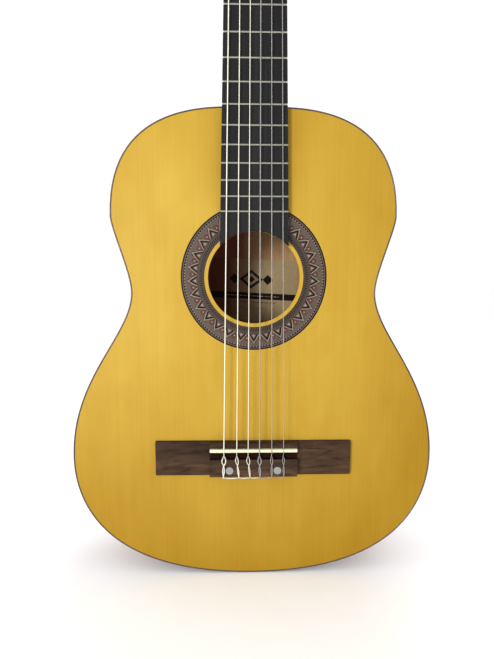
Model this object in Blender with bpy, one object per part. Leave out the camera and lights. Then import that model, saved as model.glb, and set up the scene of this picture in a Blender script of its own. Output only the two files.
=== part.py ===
"""Classical guitar with nylon strings, standing upright with its neck along +Z.

Sizes are written in millimetres in the maker's own frame: x across, s along the strings from the
saddle line towards the nut, h out of the soundboard's face. place() turns them into metres.
"""
import math

import bmesh
import bpy
from mathutils import Vector

# Driving dimensions, mm
SCALE_LENGTH = 650.0
TAIL_S = -133.8
FRONT_Y = -42.7
BODY_DEPTH = 98.0
TOP_THICK = 2.5
BACK_THICK = 2.7
RIB_THICK = 2.0
BINDING_W = 1.5
BINDING_H = 6.0
GAP = 0.3
HOLE_S = 168.3
HOLE_R = 44.0
LABEL_TURN = math.radians(-2.8)
ROSETTE_IN = 47.7
ROSETTE_OUT = 70.3
JOINT_S = 325.6
BOARD_THICK = 6.5
NUT_HALF = 24.0
TAPER = 6.0 / 325.0
FRETS = 18
NUT_S = (650.3, 655.0)
NUT_TOP = 8.2
SADDLE_TOP = 11.4
SADDLE_X = (-29.1, -16.5, -5.4, 5.7, 17.7, 29.3)
NUT_X = (-20.5, -12.3, -4.1, 4.1, 12.3, 20.5)
STRING_R = (0.545, 0.445, 0.37, 0.51, 0.41, 0.36)
HEAD_TILT = math.radians(15.0)
HEAD_THICK = 20.0
HEAD_LONG = 192.0
SLOT_X = (6.5, 23.5)
SLOT_T = (26.0, 151.0)
ROLLER_T = (58.0, 97.0, 136.0)
ROLLER_N = -7.0
ROLLER_R = 4.5
WORM_OFFSET = 8.6
GEAR_R = 5.7
WORM_R = 2.6
WORM_X = 41.5

for old in list(bpy.data.objects):
    bpy.data.objects.remove(old, do_unlink=True)


def place(p):
    """Maker's frame in mm to world metres."""
    x, s, h = p
    return Vector((x / 1000.0, (FRONT_Y - h) / 1000.0, (s - TAIL_S) / 1000.0))


def head(x, t, n):
    """Headstock frame: t along the tilted face from the nut, n out of the face."""
    c, k = math.cos(HEAD_TILT), math.sin(HEAD_TILT)
    return (x, NUT_S[1] + t * c + n * k, n * c - t * k)


def make(name, verts, faces, colour, rough=0.5, metal=0.0, origin=None, smooth=30.0):
    """One closed mesh object with its own material; origin is a point of the maker's frame."""
    base = place(origin) if origin else Vector((0, 0, 0))
    bm = bmesh.new()
    made = [bm.verts.new(place(v) - base) for v in verts]
    for f in faces:
        bm.faces.new([made[i] for i in f])
    bmesh.ops.recalc_face_normals(bm, faces=bm.faces)
    mesh = bpy.data.meshes.new(name)
    bm.to_mesh(mesh)
    bm.free()
    obj = bpy.data.objects.new(name, mesh)
    obj.location = base
    bpy.context.collection.objects.link(obj)
    mat = bpy.data.materials.new(name)
    mat.use_nodes = True
    shader = mat.node_tree.nodes["Principled BSDF"]
    shader.inputs["Base Color"].default_value = (*colour, 1.0)
    shader.inputs["Roughness"].default_value = rough
    shader.inputs["Metallic"].default_value = metal
    mesh.materials.append(mat)
    soften(obj, smooth)
    return obj


def soften(obj, angle):
    """Smooth shading with sharp edges kept above the given angle."""
    for poly in obj.data.polygons:
        poly.use_smooth = True
    obj.data.set_sharp_from_angle(angle=math.radians(angle))


def combine(obj, others, how, smooth=30.0):
    """Boolean each other object into obj and remove it."""
    for other in others:
        mod = obj.modifiers.new(how, "BOOLEAN")
        mod.operation = how
        mod.solver = "EXACT"
        mod.object = other
        bpy.context.view_layer.update()
        graph = bpy.context.evaluated_depsgraph_get()
        mesh = bpy.data.meshes.new_from_object(obj.evaluated_get(graph))
        obj.modifiers.clear()
        obj.data = mesh
        slots = list(mesh.materials)
        for extra in slots[1:]:
            mesh.materials.pop()
        bpy.data.objects.remove(other, do_unlink=True)
    bm = bmesh.new()
    bm.from_mesh(obj.data)
    bmesh.ops.remove_doubles(bm, verts=bm.verts, dist=1e-6)
    for face in bm.faces:
        face.material_index = 0
    bm.to_mesh(obj.data)
    bm.free()
    soften(obj, smooth)
    return obj


def prism_data(points, low, high, to=None):
    """Polygon of (a, b) pairs pulled from low to high; to maps (a, b, c) to the maker's frame."""
    to = to or (lambda a, b, c: (a, b, c))
    n = len(points)
    verts = [to(a, b, low) for a, b in points] + [to(a, b, high) for a, b in points]
    faces = [list(range(n - 1, -1, -1)), list(range(n, 2 * n))]
    faces += [[i, (i + 1) % n, n + (i + 1) % n, n + i] for i in range(n)]
    return verts, faces


def many(parts):
    """Join (verts, faces) pairs that don't touch into one pair."""
    verts, faces = [], []
    for v, f in parts:
        shift = len(verts)
        verts += v
        faces += [[i + shift for i in face] for face in f]
    return verts, faces


def box_data(x0, x1, s0, s1, h0, h1, to=None):
    return prism_data([(x0, s0), (x1, s0), (x1, s1), (x0, s1)], h0, h1, to)


def band_data(outer, inner, low, high):
    """Closed ring between two loops with equally many points."""
    n = len(outer)
    verts = [(x, s, low) for x, s in outer] + [(x, s, high) for x, s in outer]
    verts += [(x, s, low) for x, s in inner] + [(x, s, high) for x, s in inner]
    faces = []
    for i in range(n):
        j = (i + 1) % n
        faces.append([i, j, n + j, n + i])
        faces.append([2 * n + i, 3 * n + i, 3 * n + j, 2 * n + j])
        faces.append([i, 2 * n + i, 2 * n + j, j])
        faces.append([n + i, n + j, 3 * n + j, 3 * n + i])
    return verts, faces


def circle(cx, cs, radius, count):
    turn = 2 * math.pi / count
    return [(cx + radius * math.cos(i * turn), cs + radius * math.sin(i * turn)) for i in range(count)]


def lathe_data(profile, count, to):
    """Profile of (radius, along) turned about an axis; to maps (a, b, along) to the maker's frame."""
    verts, faces, rings = [], [], []
    for radius, along in profile:
        start = len(verts)
        for i in range(count):
            a = 2 * math.pi * i / count
            verts.append(to(radius * math.cos(a), radius * math.sin(a), along))
        rings.append(start)
    for r0, r1 in zip(rings, rings[1:]):
        for i in range(count):
            j = (i + 1) % count
            faces.append([r0 + i, r0 + j, r1 + j, r1 + i])
    faces.append(list(range(rings[0], rings[0] + count)))
    faces.append(list(range(rings[-1], rings[-1] + count)))
    return verts, faces


def tube_data(points, radius, sides=6):
    """Round cord through the points, flat ended."""
    pts = [Vector(p) for p in points]
    ways = []
    for i in range(len(pts)):
        a, b = pts[max(i - 1, 0)], pts[min(i + 1, len(pts) - 1)]
        ways.append((b - a).normalized())
    side = Vector((1, 0, 0)) if abs(ways[0].x) < 0.9 else Vector((0, 1, 0))
    verts, faces = [], []
    for p, way in zip(pts, ways):
        side = (side - way * side.dot(way)).normalized()
        up = way.cross(side)
        for k in range(sides):
            a = 2 * math.pi * k / sides
            q = p + (side * math.cos(a) + up * math.sin(a)) * radius
            verts.append(tuple(q))
    for i in range(len(pts) - 1):
        for k in range(sides):
            m = (k + 1) % sides
            faces.append([i * sides + k, i * sides + m, (i + 1) * sides + m, (i + 1) * sides + k])
    last = (len(pts) - 1) * sides
    faces.append(list(range(sides)))
    faces.append([last + k for k in range(sides)])
    return verts, faces


# ---------------------------------------------------------------- outline of the body
def bezier(a, b, c, d, count):
    pts = []
    for i in range(count):
        u = i / count
        v = 1 - u
        x = v ** 3 * a[0] + 3 * v * v * u * b[0] + 3 * v * u * u * c[0] + u ** 3 * d[0]
        s = v ** 3 * a[1] + 3 * v * v * u * b[1] + 3 * v * u * u * c[1] + u ** 3 * d[1]
        pts.append((x, s))
    return pts


def outline(inset):
    """Body outline moved inwards by inset: tail, lower bout, waist, upper bout, neck joint."""
    tail, lower, waist = (0, TAIL_S), (178.6, -10.2), (117.7, 154.4)
    upper, top = (135.9, 226.3), (0, 324.9)
    half = bezier(tail, (160.9, TAIL_S), (178.6, -47.7), lower, 16)
    half += bezier(lower, (178.6, 71.6), (117.7, 113.9), waist, 10)
    half += bezier(waist, (117.7, 172.9), (135.9, 213.6), upper, 6)
    half += bezier(upper, (135.9, 337.2), (26.6, 324.9), top, 14)
    half.append(top)
    loop = half + [(-x, s) for x, s in reversed(half[1:-1])]
    n = len(loop)
    moved = []
    for i, (x, s) in enumerate(loop):
        (xa, sa), (xb, sb) = loop[i - 1], loop[(i + 1) % n]
        dx, ds = xb - xa, sb - sa
        size = math.hypot(dx, ds)
        moved.append((x - inset * ds / size, s + inset * dx / size))
    return moved


def build_body():
    rim, inner = outline(0.0), outline(BINDING_W)
    for name, low, high in (("binding_top", -BINDING_H, 0.0),
                            ("binding_back", -BODY_DEPTH, -BODY_DEPTH + BINDING_H)):
        make(name, *band_data(rim, inner, low, high), (0.09, 0.06, 0.06), 0.4)
    plate = outline(BINDING_W + GAP)
    board = make("soundboard", *prism_data(plate, -TOP_THICK, 0.0), (0.72, 0.42, 0.08), 0.35)
    hole = make("cut", *prism_data(circle(0, HOLE_S, HOLE_R, 40), -9, 9), (1, 1, 1))
    loops = [circle(0, HOLE_S, r, 48) for r in (ROSETTE_OUT + GAP, ROSETTE_IN - GAP)]
    channel = make("cut", *band_data(loops[0], loops[1], -1.3, 5), (1, 1, 1))
    combine(board, [hole, channel], "DIFFERENCE")
    loops = [circle(0, HOLE_S, r, 48) for r in (ROSETTE_OUT, ROSETTE_IN)]
    make("rosette", *band_data(loops[0], loops[1], -1.0, 0.0), (0.45, 0.36, 0.4), 0.4)
    make("back_plate", *prism_data(plate, -BODY_DEPTH, -BODY_DEPTH + BACK_THICK), (0.2, 0.07, 0.03), 0.3)
    half = len(rim) // 2
    inside = outline(RIB_THICK)
    for name, sign in (("rib_treble", 1), ("rib_bass", -1)):
        out = [(sign * max(x, 0.15), s) for x, s in rim[:half + 1]]
        inn = [(sign * max(x, 0.15), s) for x, s in inside[:half + 1]]
        low, high = -BODY_DEPTH + BINDING_H + GAP, -BINDING_H - GAP
        make(name, *prism_data(out + inn[::-1], low, high), (0.22, 0.08, 0.03), 0.3)


def bar(a, b, width, low, high):
    """Straight brace from a to b, both (x, s)."""
    dx, ds = b[0] - a[0], b[1] - a[1]
    size = math.hypot(dx, ds)
    px, ps = -ds / size * width / 2, dx / size * width / 2
    pts = [(a[0] + px, a[1] + ps), (a[0] - px, a[1] - ps), (b[0] - px, b[1] - ps), (b[0] + px, b[1] + ps)]
    return prism_data(pts, low, high)


def half_width(inset, s_at):
    """Half width of the inset outline at one height."""
    loop = outline(inset)
    loop = loop[:len(loop) // 2 + 1]
    best = 0.0
    for (xa, sa), (xb, sb) in zip(loop, loop[1:]):
        if (sa - s_at) * (sb - s_at) <= 0 and sa != sb:
            best = xa + (xb - xa) * (s_at - sa) / (sb - sa)
    return best


def build_inside():
    """Blocks, linings with their braces, and the label."""
    wood = (0.62, 0.42, 0.22)
    face = RIB_THICK + GAP
    tail = [(x, s) for x, s in outline(face) if s < -100 and abs(x) < 42]
    tail.sort()
    tail_loop = tail + [(tail[-1][0], -117.0), (tail[0][0], -117.0)]
    make("tail_block", *prism_data(tail_loop, -BODY_DEPTH + 16.5, -16.5), wood, 0.8)
    make("heel_block", *box_data(-34, 34, 292, 322.2, -BODY_DEPTH + 16.5, -16.5), wood, 0.8)

    ring = band_data(outline(face), outline(face + 6.0), -15.0, -TOP_THICK - GAP)
    frame = make("soundboard_bracing", *ring, (0.75, 0.58, 0.36), 0.8)
    across = []
    for s_at, tall in ((232.0, 16.0), (104.0, 14.0), (284.0, 12.0)):
        reach = half_width(face + 3.0, s_at)
        across.append(make("add", *bar((-reach, s_at), (reach, s_at), 7, -tall, -3.1), wood))
    combine(frame, across, "UNION")
    fans = []
    for k in range(-3, 4):
        foot = (k * 31.0, -118.5 + abs(k) * 31.0 * 0.396)
        fans.append(bar((k * 11.5, 103.0), foot, 5.5, -8.0, -3.3))
    closing = [bar((-k, -118.9), (k * 163, -53.9), 6, -7.4, -3.5) for k in (1, -1)]
    combine(frame, [make("add", *many(fans), wood)], "UNION")
    combine(frame, [make("add", *closing[0], wood), make("add", *closing[1], wood)], "UNION")

    top = -BODY_DEPTH + BACK_THICK + GAP
    ring = band_data(outline(face), outline(face + 6.0), top, top + 12.5)
    frame = make("back_bracing", *ring, (0.6, 0.4, 0.2), 0.8)
    ladders = []
    for s_at in (-55.0, 60.0, 243.0):
        reach = half_width(face + 3.0, s_at)
        ladders.append(make("add", *bar((-reach, s_at), (reach, s_at), 8, top + 0.2, top + 13.5), wood))
    combine(frame, ladders, "UNION")
    c, k = math.cos(LABEL_TURN), math.sin(LABEL_TURN)
    corners = [(3 + a * c - b * k, 153 + a * k + b * c) for a, b in ((50, -35), (50, 35), (-50, 35), (-50, -35))]
    make("label", *prism_data(corners, top - 0.2, top + 0.0), (0.62, 0.58, 0.5), 0.8)


# ---------------------------------------------------------------- neck and fretboard
def board_half(s):
    return NUT_HALF + (SCALE_LENGTH - s) * TAPER


def smooth_step(u):
    u = min(max(u, 0.0), 1.0)
    return u * u * (3 - 2 * u)


HALF_POINTS = 9


def section(width, depth, square, foot, blend):
    """Neck section as (x, down) pairs: an oval back, or a heel that narrows to a foot."""
    pts = []
    count = 2 * HALF_POINTS - 1
    for i in range(count):
        a = math.pi * i / (count - 1)
        c, k = math.cos(a), math.sin(a)
        x_oval = width * math.copysign(abs(c) ** (2 / square), c)
        d_oval = depth * abs(k) ** (2 / square)
        part = min(1.0, 1.3 * (1 - abs(1 - 2 * i / (count - 1))))
        if part < 1.0:
            x_heel = math.copysign(foot + (width - foot) * (1 - part) ** 2.2, c)
        else:
            x_heel = foot * (1 - 2 * i / (count - 1)) / 0.2307
        d_heel = depth * part
        pts.append((x_oval + (x_heel - x_oval) * blend, d_oval + (d_heel - d_oval) * blend))
    return pts


def head_half(t):
    """Half width of the headstock face: shoulders, straight sides, a small rounded crest."""
    table = ((0, 24.0), (6, 25.0), (14, 29.5), (22, 34.0), (30, 36.0), (40, 36.4), (158, 36.4),
             (164, 35.6), (168, 33.0), (171, 30.4), (176, 29.6), (181, 28.0), (185, 24.0), (188.5, 18.0),
             (191, 10.0), (192, 4.0))
    for (ta, wa), (tb, wb) in zip(table, table[1:]):
        if ta <= t <= tb:
            return wa + (wb - wa) * (t - ta) / (tb - ta)
    return table[-1][1]


def build_neck():
    wood = (0.36, 0.16, 0.07)
    rings = []
    heel_stations = (0, 6, 12, 16, 18, 19.5, 21, 23, 26, 30, 35, 41, 48, 56, 66)
    for u in heel_stations:
        s = JOINT_S + u
        run = max(0.0, (u - 18.0) / 48.0)
        depth = 22.5 + 72.0 * (1 - run) ** 3.0 if run > 0 else 94.5
        foot = 11.0 * math.sqrt(max(0.0, 1 - (u / 20.0) ** 2)) if u < 20 else 0.0
        blend = 1.0 - smooth_step((u - 14.0) / 52.0)
        rings.append([(x, s, -d) for x, d in section(board_half(s) - 0.2, depth, 2.0, foot + 0.6, blend)])
    for s in (430.0, 480.0, 530.0, 580.0, 620.0, 640.0, 650.0, NUT_S[1]):
        depth = 22.5 - 1.8 * (s - 390) / 260
        half = board_half(min(s, SCALE_LENGTH)) - 0.2
        rings.append([(x, s, -d) for x, d in section(half, depth, 2.2, 0.6, 0.0)])
    for t in (3, 6, 10, 14, 18, 22, 30, 40, 100, 158, 164, 168, 171, 176, 181, 185, 188.5, 191, HEAD_LONG):
        square = 2.4 + 8.0 * smooth_step(t / 26.0)
        pts = section(head_half(t), HEAD_THICK, square, 0.6, 0.0)
        rings.append([head(x, t, -d) for x, d in pts])
    n = len(rings[0])
    verts = [v for ring in rings for v in ring]
    faces = []
    for r in range(len(rings) - 1):
        for i in range(n):
            j = (i + 1) % n
            faces.append([r * n + i, r * n + j, (r + 1) * n + j, (r + 1) * n + i])
    faces.append(list(range(n)))
    faces.append([(len(rings) - 1) * n + i for i in range(n)])
    neck = make("neck", verts, faces, wood, 0.35, smooth=35)
    combine(neck, [slot_cutter(-30.0, 9.0)], "DIFFERENCE")
    holes = []
    for t in ROLLER_T:
        for sign in (1, -1):
            def spin(a, b, along, t=t, sign=sign):
                return head(sign * along, t + a, ROLLER_N + b)
            holes.append(lathe_data([(ROLLER_R + 0.2, 3.5), (ROLLER_R + 0.2, 60.0)], 16, spin))
    combine(neck, [make("cut", *many(holes), wood)], "DIFFERENCE", 35)


def slot_cutter(low, high):
    """Two long slots with round ends, side by side."""
    parts = []
    radius = (SLOT_X[1] - SLOT_X[0]) / 2
    mid = (SLOT_X[1] + SLOT_X[0]) / 2
    for sign in (1, -1):
        pts = []
        for i in range(9):
            a = math.pi * i / 8
            pts.append((sign * mid + radius * math.cos(a), SLOT_T[1] - radius + radius * math.sin(a)))
        for i in range(9):
            a = math.pi + math.pi * i / 8
            pts.append((sign * mid + radius * math.cos(a), SLOT_T[0] + radius + radius * math.sin(a)))
        parts.append(prism_data(pts, low, high, head))
    return make("cut", *many(parts), (1, 1, 1))


def build_veneer():
    ts = (0.6, 6, 14, 22, 30, 40, 158, 164, 168, 171, 176, 181, 185, 188.5, 191, HEAD_LONG)
    right = [(head_half(t) - 0.1, t) for t in ts]
    loop = right + [(-x, t) for x, t in reversed(right)]
    veneer = make("headstock_veneer", *prism_data(loop, GAP, GAP + 2.0, head), (0.05, 0.03, 0.025), 0.3)
    combine(veneer, [slot_cutter(-30.0, 9.0)], "DIFFERENCE")


def build_heel_cap():
    pts = [(11.0 * math.cos(a), JOINT_S + 20.0 * math.sin(a)) for a in [math.pi * i / 14 for i in range(15)]]
    make("heel_cap", *prism_data(pts, -BODY_DEPTH, -94.5 - GAP), (0.05, 0.03, 0.025), 0.3)


def build_fretboard():
    arc = []
    edge = 32.36
    start = math.asin(edge / HOLE_R)
    for i in range(15):
        a = -start + 2 * start * i / 14
        arc.append((HOLE_R * math.sin(a), HOLE_S + HOLE_R * math.cos(a)))
    pts = arc + [(NUT_HALF, SCALE_LENGTH), (-NUT_HALF, SCALE_LENGTH)]
    make("fretboard", *prism_data(pts, GAP, GAP + BOARD_THICK), (0.025, 0.022, 0.022), 0.45)
    crown = ((-1.1, 0.0), (-0.8, 0.7), (0.0, 1.0), (0.8, 0.7), (1.1, 0.0))
    base = GAP + BOARD_THICK + 0.1
    for number in range(1, FRETS + 1):
        s = SCALE_LENGTH * 2 ** (-number / 12)
        half = board_half(s) - 0.2
        verts = [(-half + h * 0.8, s + ds, base + h) for ds, h in crown]
        verts += [(half - h * 0.8, s + ds, base + h) for ds, h in crown]
        faces = [[0, 1, 2, 3, 4], [5, 6, 7, 8, 9]]
        faces += [[i, (i + 1) % 5, 5 + (i + 1) % 5, 5 + i] for i in range(5)]
        make("fret_%02d" % number, verts, faces, (0.72, 0.72, 0.7), 0.25, 1.0)
    top = NUT_TOP
    pts = [(NUT_S[0], GAP), (NUT_S[1], GAP), (NUT_S[1], top - 1.4), (NUT_S[0] + 2.6, top - 0.2), (NUT_S[0], top)]
    make("nut", *prism_data(pts, -NUT_HALF + 0.2, NUT_HALF - 0.2, lambda s, h, x: (x, s, h)),
         (0.85, 0.8, 0.66), 0.35)


# ---------------------------------------------------------------- bridge and strings
def build_bridge():
    wood = (0.2, 0.13, 0.1)
    wing = [(7.3, GAP), (7.1, 2.4), (5.2, 3.9), (-25.4, 3.9), (-27.8, 2.4), (-28.0, GAP)]
    bridge = make("bridge", *prism_data(wing, -96.8, 96.8, lambda s, h, x: (x, s, h)), wood, 0.5)
    middle = [(7.0, 1.0), (6.9, 6.8), (5.8, 8.2), (1.6, 8.5), (1.6, 4.0), (-2.3, 4.0), (-2.3, 7.7),
              (-3.4, 7.2), (-6.6, 5.0), (-9.3, 5.0), (-9.3, 9.6), (-9.7, 10.0), (-26.6, 10.0),
              (-27.0, 9.6), (-27.0, 1.0)]
    centre = make("add", *prism_data(middle, -43.2, 43.2, lambda s, h, x: (x, s, h)), wood)
    combine(bridge, [centre], "UNION")
    bores = []
    for x0 in SADDLE_X:
        def along(a, b, s, x0=x0):
            return (x0 + a, s, 6.6 + b)
        bores.append(lathe_data([(1.1, -40.0), (1.1, -8.0)], 10, along))
    combine(bridge, [make("cut", *many(bores), wood)], "DIFFERENCE")
    saddle = [(1.3, 4.3), (1.3, SADDLE_TOP - 1.0), (0.8, SADDLE_TOP), (-0.4, SADDLE_TOP),
              (-2.0, SADDLE_TOP - 1.2), (-2.0, 4.3)]
    make("saddle", *prism_data(saddle, -42.9, 42.9, lambda s, h, x: (x, s, h)), (0.86, 0.8, 0.62), 0.35)
    for name, x in (("bridge_cap_bass", -23.6), ("bridge_cap_treble", 23.6)):
        def up(a, b, h, x=x):
            return (x + a, -20.3 + b, h)
        make(name, *lathe_data([(3.6, 10.2), (3.6, 10.6), (2.4, 10.9)], 20, up), (0.62, 0.62, 0.6), 0.4)


def arc_points(centre, radius, start, end, count):
    """Points about the roller in the (t, n) plane of the headstock."""
    pts = []
    for i in range(count):
        a = start + (end - start) * i / (count - 1)
        pts.append((centre[0] + radius * math.cos(a), centre[1] + radius * math.sin(a)))
    return pts


def string_route(index):
    """Tail tied on the bridge, then saddle, nut and two turns on its roller."""
    x0, xn, r = SADDLE_X[index], NUT_X[index], STRING_R[index]
    over = 10.0 + r + 0.12
    top = SADDLE_TOP + r + 0.08
    side = r + 0.68
    tail = -1 if index == 5 else 1
    end = (8.0, 8.0, 8.0, 8.0, 5.5, 4.0)[index]
    pts = [(x0 + tail * end, -25.3, over), (x0 + tail * (side + 1.6), -25.2, over),
           (x0 + tail * side, -23.2, over), (x0 + tail * side, -9.3, over + 0.3),
           (x0 + tail * side, -7.3, 9.3), (x0 + tail * side, -5.6, 8.6), (x0 + tail * side * 0.5, -4.9, 7.8),
           (x0 - tail * side * 0.5, -4.9, 7.8), (x0 - tail * side, -5.6, 8.6), (x0 - tail * side, -7.3, 9.3),
           (x0 - tail * side, -9.3, over + 0.3), (x0 - tail * side, -26.9, over + 0.2),
           (x0 - tail * side, -28.3, over - 0.5), (x0 - tail * side, -28.9, 9.0),
           (x0 - tail * side * 0.5, -28.9, 7.3), (x0, -27.8, 6.6), (x0, -9.6, 6.6), (x0, -8.4, 6.9),
           (x0, -2.2, top - 1.0), (x0, -0.4, top), (x0, 1.2, top - 0.02)]
    pts += [(xn, NUT_S[0] + 0.3, NUT_TOP + r + 0.1), (xn, NUT_S[0] + 2.4, NUT_TOP + r + 0.02)]
    sign = -1 if index < 3 else 1
    station = index if index < 3 else 5 - index
    t0 = ROLLER_T[station]
    x_end = sign * (19.5, 16.0, 12.5)[station]
    reach = ROLLER_R + r + 0.12
    turns = arc_points((t0, ROLLER_N), reach, math.pi * 0.56, -math.pi * 3.2, 26)
    for i, (t, n) in enumerate(turns):
        pts.append(head(x_end + sign * i * (2.0 * r + 0.25) / 13.3 * -1.0, t, n))
    return pts


def build_strings():
    names = ("string_6_E", "string_5_A", "string_4_D", "string_3_G", "string_2_B", "string_1_e")
    for index, name in enumerate(names):
        wound = index < 3
        colour = (0.75, 0.7, 0.6) if wound else (0.7, 0.72, 0.7)
        make(name, *tube_data(string_route(index), STRING_R[index]), colour, 0.3, 0.9 if wound else 0.0, smooth=80)


# ---------------------------------------------------------------- tuning machines
def build_tuners():
    metal = (0.75, 0.6, 0.3)
    for side, sign in (("bass", -1), ("treble", 1)):
        def flat(t, n, x, sign=sign):
            return head(sign * x, t, n)
        strip = [(46, -14.2), (154, -14.2), (157, -11), (157, -3), (154, 0.0), (46, 0.0), (43, -3), (43, -11)]
        plate = make("tuner_plate_" + side, *prism_data(strip, 36.7, 38.1, flat), metal, 0.3, 1.0)
        lugs, bores = [], []
        for t in ROLLER_T:
            key_t = t + WORM_OFFSET
            for n0, n1 in ((-13.83, -12.47), (-1.73, -0.37)):
                outline_lug = [(key_t - 3.2, n0), (key_t + 3.2, n0), (key_t + 3.2, n1), (key_t - 3.2, n1)]
                lugs.append(prism_data(outline_lug, 37.4, 44.4, flat))

            def shaft(a, b, along, key_t=key_t, sign=sign):
                return head(sign * WORM_X + a, key_t + b, along)

            def pivot(a, b, along, t=t, sign=sign):
                return head(sign * along, t + a, ROLLER_N + b)
            bores.append(lathe_data([(1.5, -20), (1.5, 6)], 12, shaft))
            bores.append(lathe_data([(3.2, 30), (3.2, 45)], 16, pivot))
        combine(plate, [make("add", *many(lugs), metal)], "UNION")
        combine(plate, [make("cut", *many(bores), metal)], "DIFFERENCE")
        for k, t in enumerate(ROLLER_T):
            build_key(side, sign, k, t + WORM_OFFSET)
            build_roller(side, sign, k, t)


def build_key(side, sign, k, t):
    profile = [(0.9, 0.6), (1.4, 0.2), (1.4, -2.2), (WORM_R, -2.3), (WORM_R, -11.9), (1.4, -12.0), (1.4, -21.5),
               (2.6, -22.0), (3.0, -24.0), (5.6, -25.5), (7.6, -29.5), (8.0, -34.0), (6.8, -38.0), (3.6, -40.2)]

    def turn(a, b, along):
        flat = 0.62 if along < -24.5 else 1.0
        return head(sign * WORM_X + a * flat, t + b, along)
    make("tuner_key_%s_%d" % (side, k + 1), *lathe_data(profile, 12, turn), (0.85, 0.82, 0.72), 0.3,
         origin=head(sign * WORM_X, t, ROLLER_N), smooth=40)


def build_roller(side, sign, k, t):
    profile = [(4.2, 4.0), (ROLLER_R, 4.3), (ROLLER_R, 36.2), (3.0, 36.3), (3.0, 39.4), (GEAR_R, 39.5),
               (GEAR_R, 43.4), (2.2, 43.5), (2.2, 44.4)]

    def turn(a, b, along):
        return head(sign * along, t + a, ROLLER_N + b)
    make("roller_%s_%d" % (side, k + 1), *lathe_data(profile, 14, turn), (0.88, 0.85, 0.76), 0.35,
         origin=head(sign * 20.0, t, ROLLER_N), smooth=40)


build_body()
build_inside()
build_neck()
build_veneer()
build_heel_cap()
build_fretboard()
build_bridge()
build_strings()
build_tuners()
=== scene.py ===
# %% [markdown]
# # A nylon-string guitar
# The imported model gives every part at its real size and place. This lesson dresses it: plates cut from
# one outline, wood that has grain, an inlaid rosette, tied strings and small machines on the head.
# Each step says what the piece is on the bench, how it could be made in Blender, and why this way.

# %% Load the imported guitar
import math

import bmesh
import bpy
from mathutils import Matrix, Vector


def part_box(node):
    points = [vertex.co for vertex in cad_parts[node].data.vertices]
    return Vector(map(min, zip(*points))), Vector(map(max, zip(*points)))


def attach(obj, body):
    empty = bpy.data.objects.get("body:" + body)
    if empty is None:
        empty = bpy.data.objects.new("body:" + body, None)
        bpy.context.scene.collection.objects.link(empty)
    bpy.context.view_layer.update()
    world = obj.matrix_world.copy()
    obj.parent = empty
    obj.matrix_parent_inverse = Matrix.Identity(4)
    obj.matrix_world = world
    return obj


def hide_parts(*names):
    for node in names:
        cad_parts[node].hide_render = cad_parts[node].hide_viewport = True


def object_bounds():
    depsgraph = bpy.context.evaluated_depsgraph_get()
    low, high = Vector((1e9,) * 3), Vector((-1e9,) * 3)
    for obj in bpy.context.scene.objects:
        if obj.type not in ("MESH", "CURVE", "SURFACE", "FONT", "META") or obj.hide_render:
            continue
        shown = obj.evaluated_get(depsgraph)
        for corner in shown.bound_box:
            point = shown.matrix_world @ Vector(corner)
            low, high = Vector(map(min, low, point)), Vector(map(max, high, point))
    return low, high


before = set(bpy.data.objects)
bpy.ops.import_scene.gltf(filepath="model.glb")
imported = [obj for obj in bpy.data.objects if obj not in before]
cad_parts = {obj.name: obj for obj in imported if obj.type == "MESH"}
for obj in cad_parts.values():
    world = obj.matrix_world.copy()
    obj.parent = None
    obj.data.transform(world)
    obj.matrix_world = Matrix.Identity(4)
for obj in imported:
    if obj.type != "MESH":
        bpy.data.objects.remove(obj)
cad_low, cad_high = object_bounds()
print("guitar box", [round(v, 4) for v in (*cad_low, *cad_high)])

# %% [markdown]
# A maker measures along the strings from the saddle, across from the centre line, and up from the
# soundboard. Working in those three numbers, in millimetres, is easier than in world metres, so one
# function turns them into a point. The headstock leans back, so it gets a ruler of its own.

# %% Rulers
TAIL = 133.8            # from the saddle down to the tail, in millimetres
SCALE = 650.0           # the sounding length, from the saddle to the nut
NUT_END = 655.0
TILT = math.radians(15.0)
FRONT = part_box("soundboard")[0].y
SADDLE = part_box("binding_top")[0].z + TAIL / 1000


def at(x, s, h):
    """World point: x across, s along the strings from the saddle, h out of the soundboard."""
    return Vector((x / 1000, FRONT - h / 1000, SADDLE + s / 1000))


def on_head(x, t, n):
    """World point on the tilted headstock: t along it from the nut, n out of its face."""
    c, k = math.cos(TILT), math.sin(TILT)
    return at(x, NUT_END + t * c + n * k, n * c - t * k)


print("saddle line", at(0, 0, 0), "head tip", on_head(0, 192, 0))

# %% [markdown]
# Every operator works on what is selected, so the first helpers select one thing and nothing else.
# Faces are chosen by where they are and where they point, as a hand would choose them.

# %% Helpers for the bench


def only(*things):
    """Select just these objects; the last one is active."""
    if bpy.context.object and bpy.context.object.mode != "OBJECT":
        bpy.ops.object.mode_set(mode="OBJECT")
    bpy.ops.object.select_all(action="DESELECT")
    for thing in things:
        thing.select_set(True)
    if things:
        bpy.context.view_layer.objects.active = things[-1]


def edit(thing):
    """Open one object in edit mode with everything selected."""
    only(thing)
    bpy.ops.object.mode_set(mode="EDIT")
    bpy.ops.mesh.select_mode(type="FACE")
    bpy.ops.mesh.select_all(action="SELECT")


def done():
    """Leave edit mode."""
    bpy.ops.object.mode_set(mode="OBJECT")


def pick_faces(thing, test):
    """In edit mode, select the faces whose centre and normal pass the test."""
    bpy.ops.mesh.select_all(action="DESELECT")
    mesh = bmesh.from_edit_mesh(thing.data)
    for face in mesh.faces:
        if test(face.calc_center_median(), face.normal):
            face.select_set(True)
    bmesh.update_edit_mesh(thing.data)


def settle(thing):
    """Put the object's place, turn and size into its mesh."""
    only(thing)
    bpy.ops.object.transform_apply(location=True, rotation=True, scale=True)
    return thing


def modify(thing, kind, **settings):
    """Add a modifier and apply it."""
    only(thing)
    mod = thing.modifiers.new(kind.title(), kind)
    for key, value in settings.items():
        setattr(mod, key, value)
    bpy.ops.object.modifier_apply(modifier=mod.name)


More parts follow.
